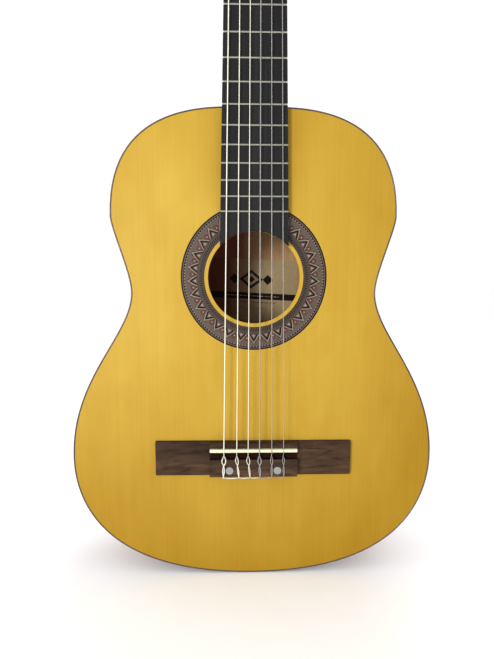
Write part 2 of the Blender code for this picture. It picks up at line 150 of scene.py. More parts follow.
def carve(thing, tool):
    """Cut another object out of a piece, and clear it away."""
    modify(thing, "BOOLEAN", operation="DIFFERENCE", solver="EXACT", object=tool)
    bpy.data.objects.remove(tool, do_unlink=True)


def ease(thing, width, segments=2, angle=35):
    """Take the sharp edge off a piece."""
    modify(thing, "BEVEL", width=width / 1000, segments=segments, limit_method="ANGLE",
           angle_limit=math.radians(angle), harden_normals=False, use_clamp_overlap=True)


def face_out(thing):
    """Merge doubled points, then turn every face outwards."""
    edit(thing)
    bpy.ops.mesh.remove_doubles(threshold=0.000002)
    bpy.ops.mesh.normals_make_consistent(inside=False)
    done()


def seat(thing, name, body, paint, *nodes, angle=32):
    """Name, smooth and paint a finished piece, and let it ride on its CAD body."""
    thing.name = name
    thing.data.name = name
    only(thing)
    bpy.ops.object.shade_smooth_by_angle(angle=math.radians(angle))
    modify(thing, "WEIGHTED_NORMAL", keep_sharp=True)
    thing.data.materials.clear()
    thing.data.materials.append(paint)
    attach(thing, body)
    if nodes:
        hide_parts(*nodes)
    return thing


def block(x0, x1, s0, s1, h0, h1):
    """A box between two corners of the maker's frame."""
    only()
    a, b = at(x0, s0, h0), at(x1, s1, h1)
    bpy.ops.mesh.primitive_cube_add(size=1, location=(a + b) / 2)
    thing = bpy.context.object
    thing.scale = [abs(v) for v in (b - a)]
    return settle(thing)


def rod(start, end, radius, sides=32):
    """A round bar between two world points."""
    only()
    way = end - start
    turn = way.to_track_quat("Z", "Y").to_euler()
    bpy.ops.mesh.primitive_cylinder_add(vertices=sides, radius=radius / 1000, depth=way.length,
                                        location=(start + end) / 2, rotation=turn)
    return settle(bpy.context.object)


def bench_copy(node):
    """A copy of a CAD node, with its loose triangles merged into clean faces."""
    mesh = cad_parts[node].data.copy()
    thing = bpy.data.objects.new(node + "_copy", mesh)
    bpy.context.scene.collection.objects.link(thing)
    edit(thing)
    bpy.ops.mesh.remove_doubles(threshold=0.000005)
    bpy.ops.mesh.customdata_custom_splitnormals_clear()
    bpy.ops.mesh.mark_sharp(clear=True)
    bpy.ops.mesh.dissolve_limited(angle_limit=math.radians(0.5))
    done()
    return thing


print("bench ready")

# %% [markdown]
# Materials are sums: grain is a stretched noise, a ring is a distance from a centre. Writing those sums
# as Python expressions keeps them readable, so a small class wraps a node's output and lets it be added,
# multiplied and compared. Colours never go through a Math node, because that would turn them grey.

# %% Shader sums


class Wire:
    """One output of a node, usable in sums."""

    def __init__(self, tree, socket=None):
        self.tree = tree
        self.socket = socket

    def node(self, kind, settings=None, links=None, out=0):
        """Add a node: settings first, then sockets; gives back one of its outputs."""
        node = self.tree.nodes.new(kind)
        for key, value in (settings or {}).items():
            if key == "stops":
                ramp = node.color_ramp
                while len(ramp.elements) < len(value):
                    ramp.elements.new(0.5)
                for element, (place, colour) in zip(ramp.elements, value):
                    element.position = place
                    element.color = (*colour[:3], 1.0)
            else:
                setattr(node, key, value)
        for key, value in (links or {}).items():
            if isinstance(value, Wire):
                self.tree.links.new(value.socket, node.inputs[key])
            else:
                node.inputs[key].default_value = value
        return Wire(self.tree, node.outputs[out])

    def sum(self, operation, *values):
        return self.node("ShaderNodeMath", {"operation": operation}, dict(enumerate(values)))

    def axes(self):
        """The x, y and z of a vector."""
        split = self.node("ShaderNodeSeparateXYZ", None, {0: self}).socket.node
        return [Wire(self.tree, out) for out in split.outputs]

    def __add__(self, other):
        return self.sum("ADD", self, other)

    def __radd__(self, other):
        return self.sum("ADD", other, self)

    def __sub__(self, other):
        return self.sum("SUBTRACT", self, other)

    def __rsub__(self, other):
        return self.sum("SUBTRACT", other, self)

    def __mul__(self, other):
        return self.sum("MULTIPLY", self, other)

    def __rmul__(self, other):
        return self.sum("MULTIPLY", other, self)

    def __truediv__(self, other):
        return self.sum("DIVIDE", self, other)

    def __abs__(self):
        return self.sum("ABSOLUTE", self)

    def below(self, edge, soft):
        """1 where the value is under the edge, fading to 0 over the soft width."""
        return self.node("ShaderNodeMapRange", {"interpolation_type": "SMOOTHSTEP"},
                         {0: self, 1: edge - soft, 2: edge + soft, 3: 1.0, 4: 0.0})

    def within(self, low, high, soft):
        return self.below(high, soft) * (1 - self.below(low, soft))

    def fit(self, low, high, to_low, to_high):
        return self.node("ShaderNodeMapRange", None, {0: self, 1: low, 2: high, 3: to_low, 4: to_high})

    def ramp(self, *stops):
        return self.node("ShaderNodeValToRGB", {"stops": stops}, {0: self})

    def mix(self, first, second):
        """Blend two colours by this value."""
        links = {0: self}
        for slot, colour in ((6, first), (7, second)):
            links[slot] = colour if isinstance(colour, Wire) else (*colour, 1.0)
        return self.node("ShaderNodeMix", {"data_type": "RGBA"}, links, out=2)


def srgb(r, g, b):
    """Screen colour 0..255 to the linear numbers a shader takes."""
    out = []
    for v in (r / 255, g / 255, b / 255):
        out.append(v / 12.92 if v <= 0.04045 else ((v + 0.055) / 1.055) ** 2.4)
    return tuple(out)


def new_paint(name, **fixed):
    """A material with fixed numbers on its shader's own sockets; gives it and a Wire to build with."""
    paint = bpy.data.materials.new(name)
    paint.use_nodes = True
    shader = paint.node_tree.nodes["Principled BSDF"]
    for key, value in fixed.items():
        socket = shader.inputs[key.replace("_", " ")]
        socket.default_value = (*value, 1.0) if isinstance(value, tuple) and len(value) == 3 else value
    return paint, Wire(paint.node_tree)


def connect(paint, **links):
    """Feed wires into the shader; Height goes through a Bump node."""
    shader = paint.node_tree.nodes["Principled BSDF"]
    tree = paint.node_tree
    for key, wire in links.items():
        if key == "Height":
            height, strength, depth = wire
            key = "Normal"
            wire = height.node("ShaderNodeBump", None,
                               {"Strength": strength, "Distance": depth, "Height": height})
        tree.links.new(wire.socket, shader.inputs[key.replace("_", " ")])
    return paint


def spot_of(wire):
    """Object coordinates: where on the guitar a point is, in metres."""
    return wire.node("ShaderNodeTexCoord", out=3)


def place_of(wire, sizes=(1, 1, 1), turn=(0, 0, 0), shift=(0, 0, 0)):
    """Object coordinates, moved, turned and scaled."""
    spot = spot_of(wire)
    return wire.node("ShaderNodeMapping", None,
                     {"Vector": spot, "Scale": sizes, "Rotation": turn, "Location": shift})


def noise(wire, place, scale, detail=3.0, rough=0.55, twist=0.0):
    """A soft random value from 0 to 1."""
    return wire.node("ShaderNodeTexNoise", None, {"Vector": place, "Scale": scale, "Detail": detail,
                                                  "Roughness": rough, "Distortion": twist})


print("shader helpers ready")

# %% [markdown]
# Wood is built up the same way each time: long streaks along the grain, short pores, and a slow change
# of tone from board to board. One function makes any of the woods here from three colours, a grain
# direction and how open the pores are. A picture of wood could be wrapped on instead, but it would
# repeat and stretch, and it would not run through a cut edge as grain does.

# %% Wood


def wood(name, dark, middle, light, sizes=(220, 220, 7), turn=(0, 0, 0), pores=0.5, rough=0.4,
         coat=0.0, bump=0.15, figure=1.0, seed=0.0, shine=0.4):
    """Grain from three tones; sizes are how often it changes along x, y and z in a metre."""
    paint, w = new_paint(name, Roughness=rough, Coat_Weight=coat, Coat_Roughness=0.18,
                         Specular_IOR_Level=shine)
    wide, narrow = tuple(v * 0.12 for v in sizes), tuple(v * 3.2 for v in sizes)
    streak = noise(w, place_of(w, sizes, turn, (seed, seed * 0.7, seed * 1.3)), 1.0, 4.0, 0.6, 0.25 * figure)
    broad = noise(w, place_of(w, wide, turn, (seed, 0, seed)), 1.0, 2.0, 0.5, 0.6 * figure)
    fine = noise(w, place_of(w, narrow, turn), 1.0, 2.0, 0.7)
    tone = streak * 0.5 + broad * 0.35 + fine * 0.15
    colour = tone.ramp((0.33, dark), (0.5, middle), (0.67, light))
    pore = fine.below(0.40, 0.04) * pores
    colour = pore.mix(colour, tuple(v * 0.35 for v in dark))
    connect(paint, Base_Color=colour, Roughness=rough + (0.5 - streak) * 0.25,
            Height=(tone - pore * 0.6, bump, 0.0006))
    return paint


mahogany = wood("ribs_mahogany", srgb(74, 34, 20), srgb(112, 54, 30), srgb(146, 80, 44), (160, 160, 9),
                pores=0.55, rough=0.32, coat=0.45, bump=0.08)
neck_wood = wood("neck_mahogany", srgb(96, 50, 28), srgb(136, 76, 42), srgb(166, 102, 60), (190, 190, 9),
                 pores=0.5, rough=0.42, coat=0.25, bump=0.1, seed=3.1)
inner_wood = wood("inner_mahogany", srgb(84, 40, 22), srgb(120, 66, 36), srgb(156, 96, 56), (150, 150, 10),
                  pores=0.5, rough=0.75, bump=0.2, seed=1.7)
spruce_bars = wood("raw_spruce", srgb(176, 132, 82), srgb(204, 164, 110), srgb(226, 190, 138), (14, 300, 300),
                   pores=0.1, rough=0.8, bump=0.2)
block_wood = wood("raw_blocks", srgb(150, 104, 66), srgb(178, 130, 84), srgb(200, 156, 106), (260, 260, 16),
                  pores=0.3, rough=0.85, bump=0.25)
binding_wood = wood("dark_binding", srgb(40, 26, 26), srgb(62, 42, 40), srgb(84, 60, 56), (40, 40, 40),
                    pores=0.2, rough=0.4, coat=0.3, bump=0.05)
bridge_wood = wood("bridge_rosewood", srgb(34, 21, 13), srgb(60, 42, 28), srgb(88, 65, 45), (16, 90, 90),
                   (0, 0.42, 0), pores=0.45, rough=0.62, bump=0.22, figure=4.0, shine=0.12)
# Painted shade for the bridge's groove: the same rosewood, darker.
groove_shade_wood = wood("groove_rosewood_painted_shade", srgb(18, 4, 1), srgb(36, 13, 5), srgb(60, 28, 15), (16, 90, 90),
                   (0, 0.42, 0), pores=0.45, rough=0.7, bump=0.22, figure=4.0, shine=0.1)
board_wood = wood("fretboard_charcoal", srgb(6, 6, 6), srgb(14, 14, 15), srgb(27, 27, 29), (520, 520, 14),
                  pores=0.6, rough=0.55, bump=0.2, shine=0.18)
veneer_wood = wood("head_veneer", srgb(22, 16, 15), srgb(40, 29, 26), srgb(62, 45, 40), (260, 260, 12),
                   pores=0.5, rough=0.35, coat=0.3, bump=0.1)
print("woods", len(bpy.data.materials))

# %% [markdown]
# The soundboard is what the eye goes to: a pale board under amber satin lacquer. The annual rings run
# straight along the strings and are very fine, and the stain has soaked in unevenly, in soft clouds.
# Painted shade darkens the plate beside the fretboard and towards its edges, and a painted pool of light
# brightens it left of the middle at the waist, where the key lamp falls; the mix is a sum of the distance
# from that lit spot, and painting it by hand would need an image.

# %% Amber soundboard lacquer


def amber_top():
    """Fine rings and soft clouds of stain, with painted light left of the middle at the waist and painted
    shade towards the edges and beside the fretboard.
    """
    paint, w = new_paint("amber_lacquer", Roughness=0.48, Specular_IOR_Level=0.14, Coat_Weight=0.0)
    rings = noise(w, place_of(w, (520, 520, 5)), 1.0, 3.0, 0.6, 0.1)
    hair = noise(w, place_of(w, (1900, 1900, 30)), 1.0, 2.0, 0.6)
    clouds = noise(w, place_of(w, (9, 9, 5)), 1.0, 3.0, 0.5, 0.4)
    spots = noise(w, place_of(w, (34, 34, 16)), 1.0, 3.0, 0.55, 0.5)
    x, _, z = spot_of(w).axes()
    # Painted light and shade: lighter left of the middle at the waist, where the key lamp falls, darker
    # towards the edges and beside the fretboard.
    away = (x + 0.04) * (x + 0.04) * 7.0 + (z - 0.30) * (z - 0.30) * 4.4
    fretboard_painted_shade = abs(x).fit(0.034, 0.062, 0.4, 0.0) * z.fit(0.36, 0.40, 0.0, 1.0)
    painted_shade_depth = (away / 0.44 + fretboard_painted_shade).fit(0.0, 1.0, 0.0, 1.0)
    tone = rings * 0.22 + hair * 0.08 + clouds * 0.42 + spots * 0.28
    lit_amber = tone.ramp((0.36, srgb(162, 128, 38)), (0.5, srgb(169, 137, 46)), (0.64, srgb(176, 145, 54)))
    shaded_amber = tone.ramp((0.36, srgb(137, 101, 12)), (0.5, srgb(144, 108, 16)), (0.64, srgb(151, 116, 23)))
    connect(paint, Base_Color=painted_shade_depth.mix(lit_amber, shaded_amber), Roughness=0.46 + (spots - 0.5) * 0.2,
            Height=(rings * 0.6 + hair * 0.4, 0.06, 0.0004))
    return paint


amber = amber_top()
print("amber lacquer ready")

# %% [markdown]
# A classical body is drawn with one line: tail, lower bout, waist, upper bout, neck joint. Five knots of
# a Bezier curve and their mirror images hold it exactly, and every plate, rib and binding is cut from
# that one line by an inset, so they can't disagree.

# %% One outline for the whole body
KNOTS = [((0, -TAIL), (-160.9, -TAIL), (160.9, -TAIL)),
         ((178.6, -10.2), (178.6, -47.7), (178.6, 71.6)),
         ((117.7, 154.4), (117.7, 113.9), (117.7, 172.9)),
         ((135.9, 226.3), (135.9, 213.6), (135.9, 337.2)),
         ((0, 324.9), (26.6, 324.9), (-26.6, 324.9))]


def body_sheet():
    """A flat face with the body's outline, at the front of the soundboard."""
    only()
    bpy.ops.curve.primitive_bezier_circle_add(radius=0.1)
    curve = bpy.context.object
    bpy.ops.object.mode_set(mode="EDIT")
    bpy.ops.curve.select_all(action="SELECT")
    bpy.ops.curve.subdivide(number_cuts=1)
    done()
    mirrored = [tuple((-x, s) for x, s in (knot[0], knot[2], knot[1])) for knot in KNOTS[3:0:-1]]
    for point, knot in zip(curve.data.splines[0].bezier_points, KNOTS + mirrored):
        point.handle_left_type = point.handle_right_type = "FREE"
        spots = [(x / 1000, s / 1000, 0) for x, s in knot]
        point.co, point.handle_left, point.handle_right = spots
    curve.data.dimensions = "2D"
    curve.data.fill_mode = "NONE"
    curve.data.resolution_u = 32
    curve.location = at(0, 0, 0)
    curve.rotation_euler = (math.radians(90), 0, 0)
    only(curve)
    bpy.ops.object.convert(target="MESH")
    sheet = settle(bpy.context.object)
    edit(sheet)
    bpy.ops.mesh.select_mode(type="EDGE")
    bpy.ops.mesh.select_all(action="SELECT")
    bpy.ops.mesh.remove_doubles(threshold=0.000001)
    bpy.ops.mesh.edge_face_add()
    bpy.ops.mesh.select_mode(type="FACE")
    bpy.ops.mesh.select_all(action="SELECT")
    return sheet


def body_part(inset, keep, near, far):
    """Inset the outline; keep the 'plate' inside or the 'rim' outside; give it thickness."""
    sheet = body_sheet()
    bpy.ops.mesh.inset(thickness=inset / 1000, use_even_offset=True, use_boundary=True)
    if keep == "plate":
        bpy.ops.mesh.select_all(action="INVERT")
    bpy.ops.mesh.delete(type="FACE")
    bpy.ops.mesh.select_all(action="SELECT")
    bpy.ops.transform.translate(value=(0, -near / 1000, 0))
    bpy.ops.mesh.extrude_region_move(TRANSFORM_OT_translate={"value": (0, (near - far) / 1000, 0)})
    done()
    face_out(sheet)
    return sheet


DEPTH = 98.0
HOLE_S, HOLE_R = 168.3, 44.0
TOP_THICK, BACK_THICK, RIB_THICK = 2.5, 2.7, 2.0
BINDING_WIDE, BINDING_TALL, SEAM = 1.5, 6.0, 0.05
top_plate = body_part(BINDING_WIDE + SEAM, "plate", 0.0, -TOP_THICK)
carve(top_plate, rod(at(0, HOLE_S, 5), at(0, HOLE_S, -8), HOLE_R, 160))
print("soundboard", len(top_plate.data.polygons), "faces")

# %% [markdown]
# The rosette lies in a ring-shaped channel cut into the soundboard. A ring for the cutter and a slightly
# smaller ring for the inlay are both made from a round face by an inset. A torus would be the quick
# way, but the real channel has a flat floor and square walls.

# %% Rosette channel and inlay


def flat_ring(outer, inner, near, far, sides=160):
    """A flat washer round the sound hole, between two heights."""
    only()
    bpy.ops.mesh.primitive_circle_add(vertices=sides, radius=outer / 1000, fill_type="NGON",
                                      location=at(0, HOLE_S, near), rotation=(math.radians(90), 0, 0))
    ring = settle(bpy.context.object)
    edit(ring)
    bpy.ops.mesh.inset(thickness=(outer - inner) / 1000, use_boundary=True)
    bpy.ops.mesh.delete(type="FACE")
    bpy.ops.mesh.select_all(action="SELECT")
    bpy.ops.mesh.extrude_region_move(TRANSFORM_OT_translate={"value": (0, (near - far) / 1000, 0)})
    done()
    face_out(ring)
    return ring


INLAY_OUTER, INLAY_INNER = 69.9, 47.7
carve(top_plate, flat_ring(INLAY_OUTER + SEAM, INLAY_INNER - SEAM, 3.0, -1.15))
ease(top_plate, 0.35)
seat(top_plate, "amber_soundboard", "frame", amber, "soundboard")
inlay = flat_ring(INLAY_OUTER, INLAY_INNER, 0.0, -1.0)
print("inlay ring", len(inlay.data.polygons), "faces")

# %% [markdown]
# The inlay's picture is drawn with sums of the distance from the hole's centre and the angle round it:
# rings where the distance lies in a band, beads and dashes where the angle repeats, and a zigzag of
# nested arrowheads with small flowers between them. Real makers saw this from stacks of dyed veneer.
# Thousands of tiny tiles could be modelled, but sums of two numbers give the same edges at any size.

# %% Rosette marquetry


def marquetry():
    """Rings, arrowheads, flowers, beads and dashes, drawn in millimetres from the hole's centre."""
    paint, w = new_paint("rosette_marquetry", Roughness=0.5, Specular_IOR_Level=0.12)
    place = place_of(w, (1000, 1000, 1000), (0, 0, 0), (0, 0, -1000 * at(0, HOLE_S, 0).z))
    x, _, z = place.axes()
    far = w.sum("SQRT", x * x + z * z)
    angle = w.sum("ARCTAN2", z, x)

    def repeat(count, shift=0.0):
        """Distance along the ring from the middle of the nearest repeat, in millimetres."""
        turn = angle * (count / (2 * math.pi)) + (count + shift)
        part = w.sum("FRACT", turn) - 0.5
        return part * far * (2 * math.pi / count)

    mauve, dark, cream = srgb(72, 58, 52), srgb(10, 5, 4), srgb(150, 134, 114)
    red, pink, grey = srgb(82, 52, 42), srgb(160, 132, 116), srgb(92, 80, 72)
    line = tuple(v * 0.5 for v in mauve)
    grain = noise(w, place, 1.3, 3.0, 0.6)
    colour = grain.mix(tuple(v * 0.55 for v in mauve), tuple(v * 1.35 for v in mauve))
    arrowheads, dashes, beads = 29, 142, 150
    across = abs(repeat(arrowheads, 0.75))
    between = abs(repeat(arrowheads, 0.25))

    colour = (far.within(54.4, 63.9, 0.25) * 0.6).mix(colour, grey)
    petal = w.sum("SQRT", between * between + (far - 58.9) * (far - 58.9))
    speck = noise(w, place, 1.0, 2.0, 0.7)
    colour = (petal.below(3.0, 0.5) * speck.fit(0.3, 0.55, 0.4, 1.0)).mix(colour, red)
    colour = (abs(petal - 1.7).below(0.3, 0.2) * speck.fit(0.5, 0.55, 0.0, 0.8)).mix(colour, dark)
    colour = petal.below(0.6, 0.25).mix(colour, pink)
    foot = w.sum("SQRT", between * between + (far - 55.9) * (far - 55.9))
    colour = foot.below(0.7, 0.25).mix(colour, dark)

    leg = (63.3 - far) * 0.6 - across
    colour = (abs(leg).below(0.34, 0.2) * far.within(55.0, 63.6, 0.3) * 0.85).mix(colour, cream)
    outer_leg = (65.2 - far) * 0.62 - across
    colour = (abs(outer_leg).below(0.38, 0.18) * far.within(61.4, 63.6, 0.2)).mix(colour, dark)
    inner_leg = (60.9 - far) * 0.6 - across
    colour = (abs(inner_leg).below(0.86, 0.2) * far.within(54.6, 61.3, 0.25)).mix(colour, dark)
    heart = (58.1 - far) * 0.6 - across
    colour = ((1 - heart.below(0.1, 0.15)) * far.within(55.6, 59.4, 0.2) * 0.9).mix(colour, cream)
    colour = far.within(54.0, 54.4, 0.15).mix(colour, line)

    colour = (far.within(49.3, 52.2, 0.2) * 0.5).mix(colour, grey)
    dash = abs(repeat(dashes) + (far - 50.6) * 0.5)
    colour = (dash.below(0.66, 0.16) * far.within(49.5, 51.9, 0.2)).mix(colour, dark)
    colour = far.within(51.9, 52.3, 0.12).mix(colour, line)
    colour = far.within(49.0, 49.5, 0.12).mix(colour, line)

    blot = noise(w, place, 2.4, 2.0, 0.6)
    colour = (blot.below(0.46, 0.06) * 0.45).mix(colour, dark)
    along = repeat(beads)
    bead = w.sum("SQRT", along * along + (far - 66.6) * (far - 66.6))
    colour = (far.within(63.6, 66.3, 0.2) * 0.4).mix(colour, grey)
    colour = far.within(66.4, 67.8, 0.15).mix(colour, dark)
    colour = (far.within(67.8, 68.6, 0.15) * 0.7).mix(colour, grey)
    colour = (bead.below(0.55, 0.14) * 0.7).mix(colour, cream)
    colour = far.within(68.6, 71.0, 0.15).mix(colour, dark)
    colour = far.below(48.1, 0.1).mix(colour, dark)
    connect(paint, Base_Color=colour, Roughness=0.4 + grain * 0.12, Height=(grain, 0.05, 0.0002))
    return paint


seat(inlay, "rosette_inlay", "frame", marquetry(), "rosette")
print("rosette", len(bpy.data.materials["rosette_marquetry"].node_tree.nodes), "nodes")

# %% [markdown]
# The binding is a strip of dark wood let into the corner between plate and rib. It protects the end
# grain, and its outer corner is rounded over with a scraper. The ribs are thin bands bent over a hot
# iron; they meet at the tail and at the heel, so one rim is cut in two along the centre line. Bending
# a flat strip would be truer to the shop, but insets of the same outline leave no gaps.

# %% Bindings, ribs and back
for name, node, near, far in (("front_binding", "binding_top", 0.0, -BINDING_TALL),
                              ("rear_binding", "binding_back", BINDING_TALL - DEPTH, -DEPTH)):
    strip = body_part(BINDING_WIDE, "rim", near, far)
    ease(strip, 0.6, 3)
    seat(strip, name, "frame", binding_wood, node)
for name, node, sign in (("rib_of_treble_side", "rib_treble", 1), ("rib_of_bass_side", "rib_bass", -1)):
    rib = body_part(RIB_THICK, "rim", -BINDING_TALL - SEAM, BINDING_TALL + SEAM - DEPTH)
    edit(rib)
    bpy.ops.mesh.bisect(plane_co=(sign * 0.00008, 0, 0), plane_no=(sign, 0, 0), use_fill=True,
                        clear_inner=True)
    done()
    face_out(rib)
    seat(rib, name, "frame", mahogany, node)


def back_wood():
    """Two halves of one board, opened like a book, with a dark strip along the joint; bare inside, with
    painted shade towards its left.
    """
    paint, w = new_paint("back_mahogany", Roughness=0.3, Coat_Weight=0.5, Coat_Roughness=0.15)
    x, y, z = spot_of(w).axes()

    def leaf(across, along):
        return w.node("ShaderNodeCombineXYZ", None, {0: across, 1: 0.0, 2: along})

    streak = noise(w, leaf(abs(x) * 120, z * 6), 1.0, 4.0, 0.6, 0.7)
    broad = noise(w, leaf(abs(x) * 17, z * 2.5), 1.0, 2.0, 0.5, 1.0)
    fine = noise(w, leaf(x * 620, z * 24), 1.0, 2.0, 0.7)
    tone = streak * 0.45 + broad * 0.4 + fine * 0.15
    colour = tone.ramp((0.34, srgb(72, 33, 19)), (0.5, srgb(114, 56, 31)), (0.66, srgb(150, 84, 46)))
    pore = fine.below(0.4, 0.04) * 0.5
    colour = pore.mix(colour, srgb(40, 18, 10))
    colour = abs(x).below(0.0032, 0.0001).mix(colour, srgb(196, 160, 108))
    colour = abs(x).below(0.0026, 0.0001).mix(colour, srgb(46, 28, 22))
    bare = tone.ramp((0.34, srgb(150, 112, 70)), (0.5, srgb(172, 134, 90)), (0.66, srgb(190, 154, 108)))
    # Painted shade: the inside of the back turns darker and redder towards the left, where the soundboard
    # shades it.
    painted_shade_inside = tone.ramp((0.34, srgb(84, 26, 8)), (0.5, srgb(104, 36, 12)), (0.66, srgb(124, 50, 20)))
    bare = x.fit(-0.016, 0.020, 0.0, 1.0).mix(painted_shade_inside, bare)
    inside = y.below(FRONT + 0.0965, 0.0003)
    colour = inside.mix(colour, bare)
    connect(paint, Base_Color=colour, Roughness=0.3 + (0.5 - streak) * 0.2 + inside * 0.45,
            Coat_Weight=0.5 - inside * 0.5, Height=(tone, 0.06, 0.0005))
    return paint


back = body_part(BINDING_WIDE + SEAM, "plate", BACK_THICK - DEPTH, -DEPTH)
ease(back, 0.4)
seat(back, "back_board", "frame", back_wood(), "back_plate")
print("body parts made")

# %% [markdown]
# Inside, the blocks, linings and braces keep their CAD shapes: they are straight bars glued by plain
# joints. Only the wood has to be right, because they are seen through the hole. The paper label is
# drawn with sums of its own two axes: a dark band, a diamond with bars, and dotted rules.

# %% Inner woodwork and the label
for node, paint in (("soundboard_bracing", spruce_bars), ("back_bracing", inner_wood),
                    ("tail_block", block_wood), ("heel_block", block_wood)):
    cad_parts[node].data.materials[0] = paint


def label_paper():
    """Aged paper with plain ruled lines and bars, and no writing, darkened towards its left by painted shade.
    """
    paint, w = new_paint("label_paper", Roughness=0.85, Specular_IOR_Level=0.2)
    middle = at(3, 153, 0) * 1000
    slant = math.radians(-2.8)
    centred = place_of(w, (1000, 1000, 1000), (0, 0, 0), (-middle.x, 0, -middle.z))
    place = w.node("ShaderNodeMapping", None, {"Vector": centred, "Rotation": (0, slant, 0)})
    x, _, s = place.axes()
    fibre = noise(w, place, 0.35, 4.0, 0.7)
    colour = fibre.mix(srgb(146, 124, 90), srgb(176, 154, 116))
    # Painted shade: the label darkens to red-brown towards its left, where the soundboard shades it.
    colour = x.fit(-30.0, 12.0, 0.92, 0.0).mix(colour, srgb(84, 26, 6))
    ink = srgb(22, 12, 9)
    colour = s.within(-10.6, -3.4, 0.3).mix(colour, ink)
    dots = w.sum("SINE", x * 2.1) * w.sum("SINE", x * 0.83 + 1.0)
    for rule, middle_x, long, gap, thick, strength, tint in (
            (-7.0, 0, 30.0, -0.1, 0.5, 1.0, srgb(150, 130, 108)),
            (-14.2, 2, 24.0, -0.1, 0.6, 0.8, ink),
            (-21.0, 2, 16.0, 0.1, 0.5, 0.5, ink)):
        dotted = abs(s - rule).below(thick, 0.2) * abs(x - middle_x).below(long, 0.5)
        colour = (dotted * (1 - dots.below(gap, 0.1)) * strength).mix(colour, tint)
    heart = abs(x + 3) + abs(s - 12.0) * 1.25
    colour = heart.within(9.0, 13.5, 0.4).mix(colour, ink)
    colour = heart.below(4.5, 0.4).mix(colour, ink)
    wing = abs(abs(x + 3) - 19.0) + abs(s - 12.0)
    colour = wing.below(6.0, 0.4).mix(colour, ink)
    return connect(paint, Base_Color=colour, Height=(fibre, 0.1, 0.0002))


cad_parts["label"].data.materials[0] = label_paper()
print("inner woodwork painted")

# %% [markdown]
# The neck was carved from one block, so its CAD loft is copied and its loose triangles merged; a small
# bevel then breaks the hard edges of the slots and the heel. The fretboard, veneer and bridge are
# treated the same way. They could be drawn again from boxes, but a copy keeps them exactly where the
# strings need them.

# %% Neck, veneer, heel cap, fretboard
for node, name, paint, width in (("neck", "carved_neck", neck_wood, 0.5),
                                 ("headstock_veneer", "black_veneer", veneer_wood, 0.35),
                                 ("heel_cap", "black_heel_cap", veneer_wood, 0.4),
                                 ("fretboard", "charcoal_fretboard", board_wood, 0.35)):
    piece = bench_copy(node)
    ease(piece, width)
    seat(piece, name, "frame", paint, node, angle=38)
    print(name, len(piece.data.polygons), "faces")

# %% [markdown]
# A fret is drawn wire with a round crown. One crown is made from a bar cut in half lengthwise; its ends
# are then planed back at a slant, so the wire never catches the hand, and the planed faces get a brighter
# metal than the crown as a painted highlight. A curve with a bevel would also do, but its ends can't be
# planed. Each fret lies where the sounding length is shortened by the twelfth root of two.

# %% Frets


def fret_metal(name, low, high):
    """Drawn wire with fine scratches along the fret."""
    paint, w = new_paint(name, Metallic=1.0, Roughness=0.28)
    scratch = noise(w, place_of(w, (90, 2500, 2500)), 1.0, 3.0, 0.7)
    return connect(paint, Base_Color=scratch.mix(low, high), Roughness=0.2 + scratch * 0.2,
                   Height=(scratch, 0.08, 0.0001))


nickel = fret_metal("fret_nickel", srgb(126, 123, 110), srgb(180, 177, 164))
# The planed fret ends get a brighter metal: a painted highlight.
fret_end_highlight = fret_metal("fret_end_filed", srgb(216, 214, 208), srgb(246, 244, 240))
FRET_BASE, CROWN_R = 6.85, 0.92
NUT_HALF, TAPER, END_GAP = 24.0, 6 / 325, 0.15
for number in range(1, 19):
    s = SCALE * 2 ** (-number / 12)
    half = NUT_HALF + (SCALE - s) * TAPER - END_GAP
    wire = rod(at(-half, s, FRET_BASE), at(half, s, FRET_BASE), CROWN_R, 20)
    edit(wire)
    for spot, way in ((at(0, s, FRET_BASE), (0, 1, 0)), (at(half, s, FRET_BASE), (1, -0.7, 0)),
                      (at(-half, s, FRET_BASE), (-1, -0.7, 0))):
        bpy.ops.mesh.select_all(action="SELECT")
        bpy.ops.mesh.bisect(plane_co=spot, plane_no=way, use_fill=True, clear_outer=True)
    done()
    face_out(wire)
    seat(wire, "fret_wire_%02d" % number, "frame", nickel, "fret_%02d" % number, angle=40)
    wire.data.materials.append(fret_end_highlight)
    for face in wire.data.polygons:
        if abs(face.normal.x) > 0.5:
            face.material_index = 1
print("18 frets")

# %% [markdown]
# Nut and saddle are bone-coloured bars. The nut is a box with a slanted back and six round notches; the
# saddle's top is rounded over and has only the faint marks that the strings press in. The notches are
# cut with round bars as wide as each string, the way a nut file does it; a painted notch would look
# flat from the side.

# %% Nut and saddle
SADDLE_X = (-29.1, -16.5, -5.4, 5.7, 17.7, 29.3)
NUT_X = (-20.5, -12.3, -4.1, 4.1, 12.3, 20.5)
STRING_R = (0.545, 0.445, 0.37, 0.51, 0.41, 0.36)
SADDLE_TOP, NUT_TOP = 11.4, 8.2


def bone(name, low, high):
    """Polished bone, faintly cloudy along its length."""
    paint, w = new_paint(name, Roughness=0.35, Subsurface_Weight=0.1, Coat_Weight=0.2)
    cloud = noise(w, place_of(w, (90, 300, 300)), 1.0, 4.0, 0.6)
    colour = cloud.ramp((0.3, low), (0.7, high))
    return connect(paint, Base_Color=colour, Roughness=0.3 + cloud * 0.15, Height=(cloud, 0.05, 0.0002))


nut = block(-23.8, 23.8, 650.3, 655.0, 0.3, 8.6)
edit(nut)
bpy.ops.mesh.bisect(plane_co=at(0, 652.0, 8.6), plane_no=(0, -1.0, 0.42), use_fill=True,
                    clear_outer=True)
done()
for x, r in zip(NUT_X, STRING_R):
    carve(nut, rod(at(x, 649, NUT_TOP + r + 0.1), at(x, 657, NUT_TOP + r + 0.0), r + 0.05, 16))
ease(nut, 0.25)
seat(nut, "bone_nut", "frame", bone("nut_bone", srgb(216, 204, 172), srgb(238, 230, 206)), "nut")
saddle = bench_copy("saddle")
ease(saddle, 0.4, 3)
seat(saddle, "bone_saddle", "frame", bone("saddle_bone", srgb(214, 206, 168), srgb(232, 226, 192)),
     "saddle")
print("nut and saddle", len(nut.data.polygons), len(saddle.data.polygons), "faces")
